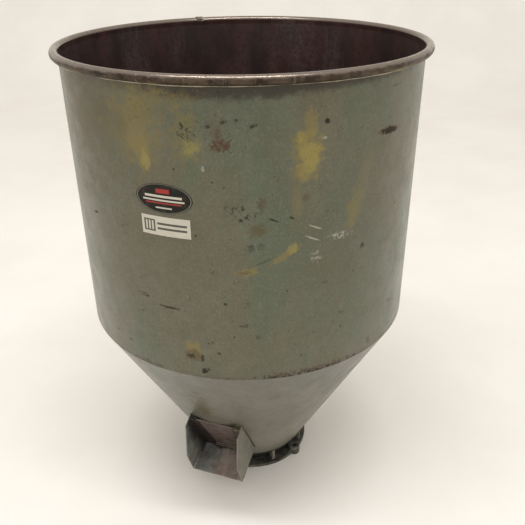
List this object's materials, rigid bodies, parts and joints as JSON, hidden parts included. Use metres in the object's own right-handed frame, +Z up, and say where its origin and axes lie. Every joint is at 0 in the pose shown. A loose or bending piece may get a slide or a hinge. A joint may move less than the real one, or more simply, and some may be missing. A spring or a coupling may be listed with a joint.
{
  "type": "material hopper",
  "caption": "Open-topped sheet-steel hopper: rolled drum with a curled rim on a cone, ringed outlet base and a side clean-out chute with a lift-up slide gate.",
  "frame": {"origin": "on the drum's axis, at the underside of the base ring", "axes": "+Z up along the drum's axis, -Y towards the side chute, +X to the chute's right as seen from in front"},
  "size_m": [0.529, 0.5288, 0.7251],
  "materials": {
    "body_paint": "old grey-green paint, worn and spattered",
    "chute_paint": "old grey-green paint, rubbed through to steel inside",
    "web_paint": "old grey-green paint",
    "rim_steel": "worn bright on top, brown below",
    "wire_steel": "browned steel",
    "weld_metal": "weld metal, browned",
    "base_metal": "dark, oily and dusty",
    "guide_steel": "bare steel with rust in the corners",
    "gate_primer": "brown primer, scraped by use",
    "label_stock": "matt white label",
    "sticker_film": "dark vinyl with a pale edge"
  },
  "bodies": {
    "hopper": {"drum_shell": "body_paint", "rim_curl": "rim_steel", "rim_wire": "wire_steel", "rim_joint_weld": "weld_metal", "drum_seam_weld": "body_paint", "girth_weld": "weld_metal", "cone_shell": "body_paint", "cone_seam_weld": "body_paint", "throat_collar": "base_metal", "throat_weld": "weld_metal", "throat_tube": "base_metal", "base_ring": "base_metal", "chute_cheek_left": "chute_paint", "chute_cheek_right": "chute_paint", "chute_floor": "chute_paint", "guide_spacer_left": "guide_steel", "guide_spacer_right": "guide_steel", "guide_strip_left": "guide_steel", "guide_strip_right": "guide_steel", "gate_stop_left": "guide_steel", "gate_stop_right": "guide_steel", "asset_label": "label_stock", "oval_sticker": "sticker_film", "base_web_1": "web_paint", "base_web_2": "web_paint", "base_web_3": "web_paint", "base_web_4": "web_paint", "base_web_5": "web_paint", "base_web_6": "web_paint", "base_web_7": "web_paint", "base_web_8": "web_paint", "base_lug_1": "base_metal", "base_lug_2": "base_metal", "base_lug_3": "base_metal", "base_lug_4": "base_metal"},
    "gate": {"gate_plate": "gate_primer"}
  },
  "joints": [
    {"name": "gate_slide", "type": "slide", "parent": "hopper", "child": "gate", "axis": [0, -0.4772, 0.8788], "range_m": [0, 0.09]}
  ]
}
